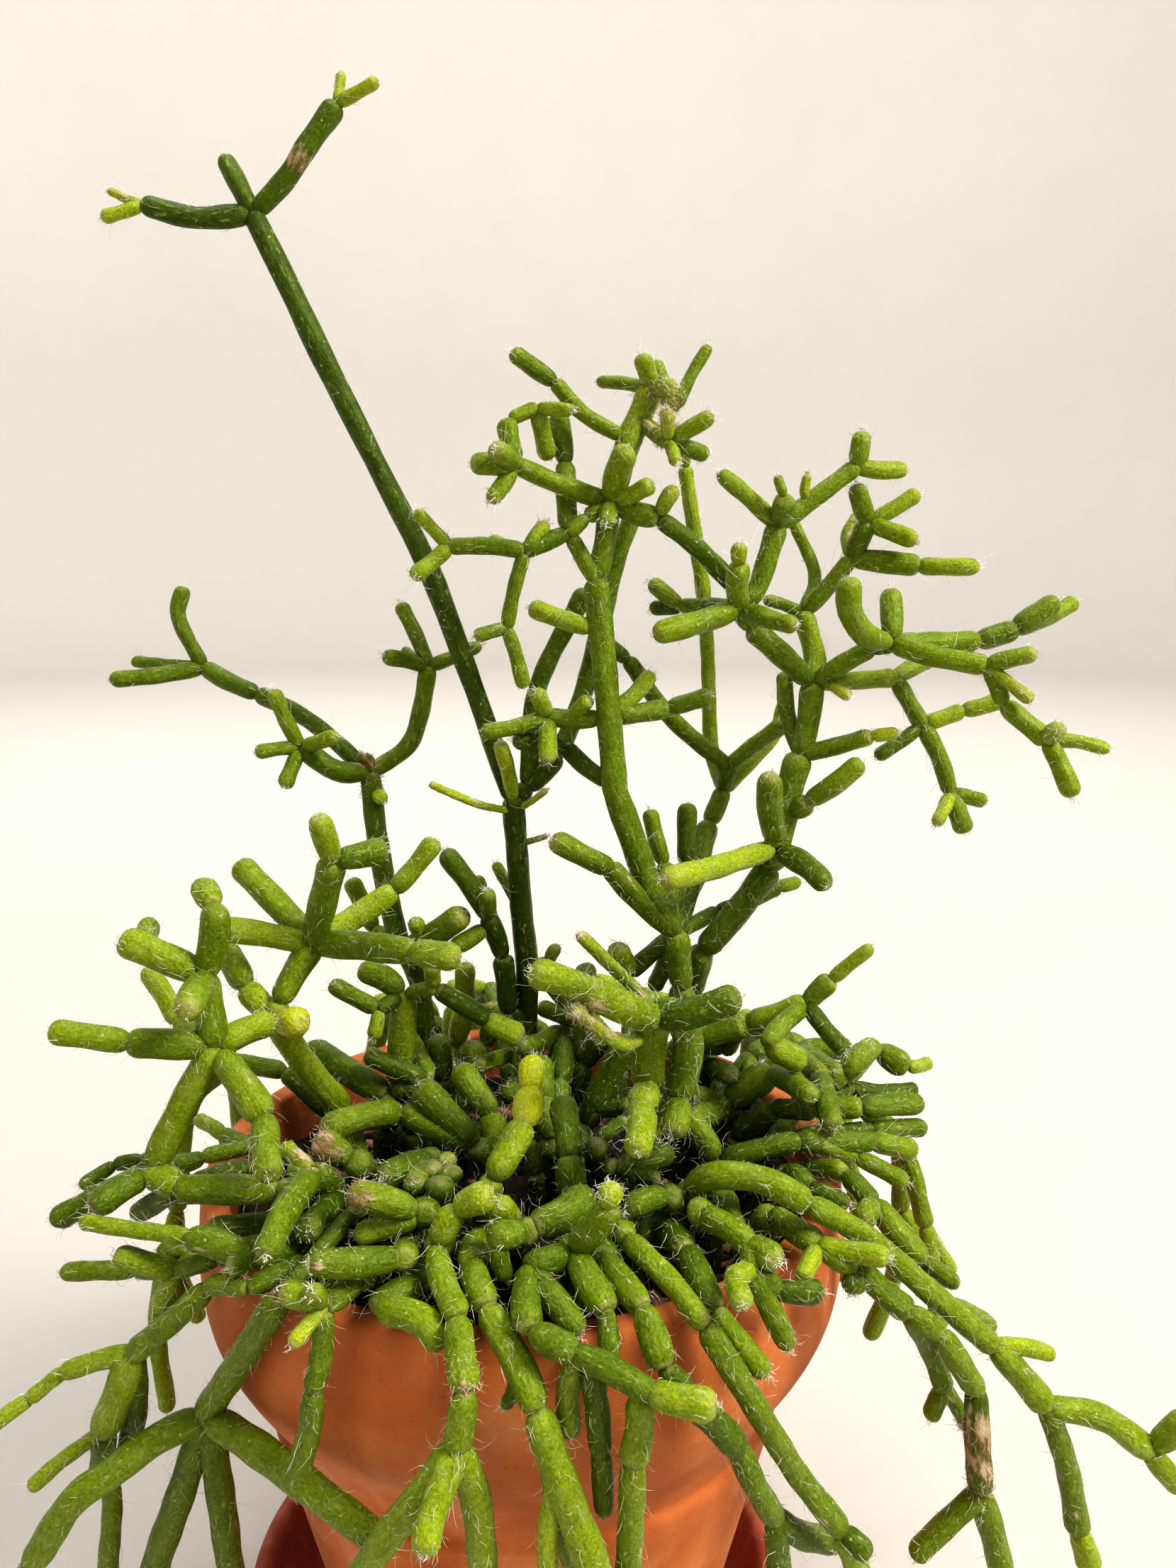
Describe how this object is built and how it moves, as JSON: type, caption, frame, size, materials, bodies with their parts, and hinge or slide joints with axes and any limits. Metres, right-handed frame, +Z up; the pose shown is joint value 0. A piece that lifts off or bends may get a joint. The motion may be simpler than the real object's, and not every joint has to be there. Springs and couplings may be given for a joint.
{
  "type": "potted mistletoe cactus",
  "caption": "Mistletoe cactus with branching pencil-thin stems that stand and trail, in a round terracotta pot on a terracotta saucer.",
  "frame": {"origin": "on the saucer's flat underside, under the pot's axis", "axes": "+Z up, +X to the right and +Y away from the viewer, who sees the side that the long stems hang over"},
  "size_m": [0.2082, 0.1691, 0.3137],
  "materials": {
    "stem_old": "satin",
    "stem_grown": "satin",
    "stem_fresh": "satin",
    "terracotta": "matte",
    "saucer_clay": "matte",
    "soil": "matte"
  },
  "bodies": {
    "root": {"back_stem_1": "stem_grown", "back_stem_2": "stem_grown", "back_stem_3": "stem_grown", "back_stem_4": "stem_grown", "back_stem_5": "stem_grown", "back_stem_6": "stem_grown", "back_stem_7": "stem_grown", "back_stem_8": "stem_grown", "ball_tipped_stem": "stem_fresh", "front_hand_stem": "stem_fresh", "front_stem_a": "stem_grown", "front_stem_b": "stem_grown", "front_stem_c": "stem_grown", "front_stem_d": "stem_grown", "front_stem_e": "stem_grown", "front_stem_f": "stem_grown", "front_stem_g": "stem_grown", "front_stem_h": "stem_grown", "front_stem_i": "stem_grown", "left_corky_stem": "stem_grown", "left_hanging_stem": "stem_grown", "left_low_stem": "stem_grown", "left_rear_stem": "stem_grown", "left_stem": "stem_old", "left_trailing_stem": "stem_grown", "left_wispy_stem_a": "stem_grown", "left_wispy_stem_b": "stem_grown", "middle_stem": "stem_old", "mound_stem_a": "stem_grown", "mound_stem_b": "stem_grown", "mound_stem_c": "stem_grown", "mound_stem_d": "stem_grown", "mound_stem_e": "stem_grown", "mound_stem_f": "stem_fresh", "mound_stem_g": "stem_grown", "mound_stem_h": "stem_grown", "mound_stem_i": "stem_fresh", "mound_stem_j": "stem_grown", "old_left_stem": "stem_grown", "pale_forked_stem": "stem_grown", "pot": "terracotta", "right_bundle_stem_a": "stem_grown", "right_bundle_stem_b": "stem_grown", "right_bundle_stem_c": "stem_grown", "right_bundle_stem_d": "stem_grown", "right_bundle_stem_e": "stem_grown", "right_fan_stem": "stem_grown", "right_short_stem": "stem_grown", "right_stem": "stem_old", "right_trailing_stem_a": "stem_grown", "right_trailing_stem_b": "stem_grown", "right_trailing_stem_c": "stem_grown", "saucer": "saucer_clay", "soil": "soil", "tall_stem": "stem_old", "young_left_stem": "stem_fresh"}
  },
  "joints": []
}
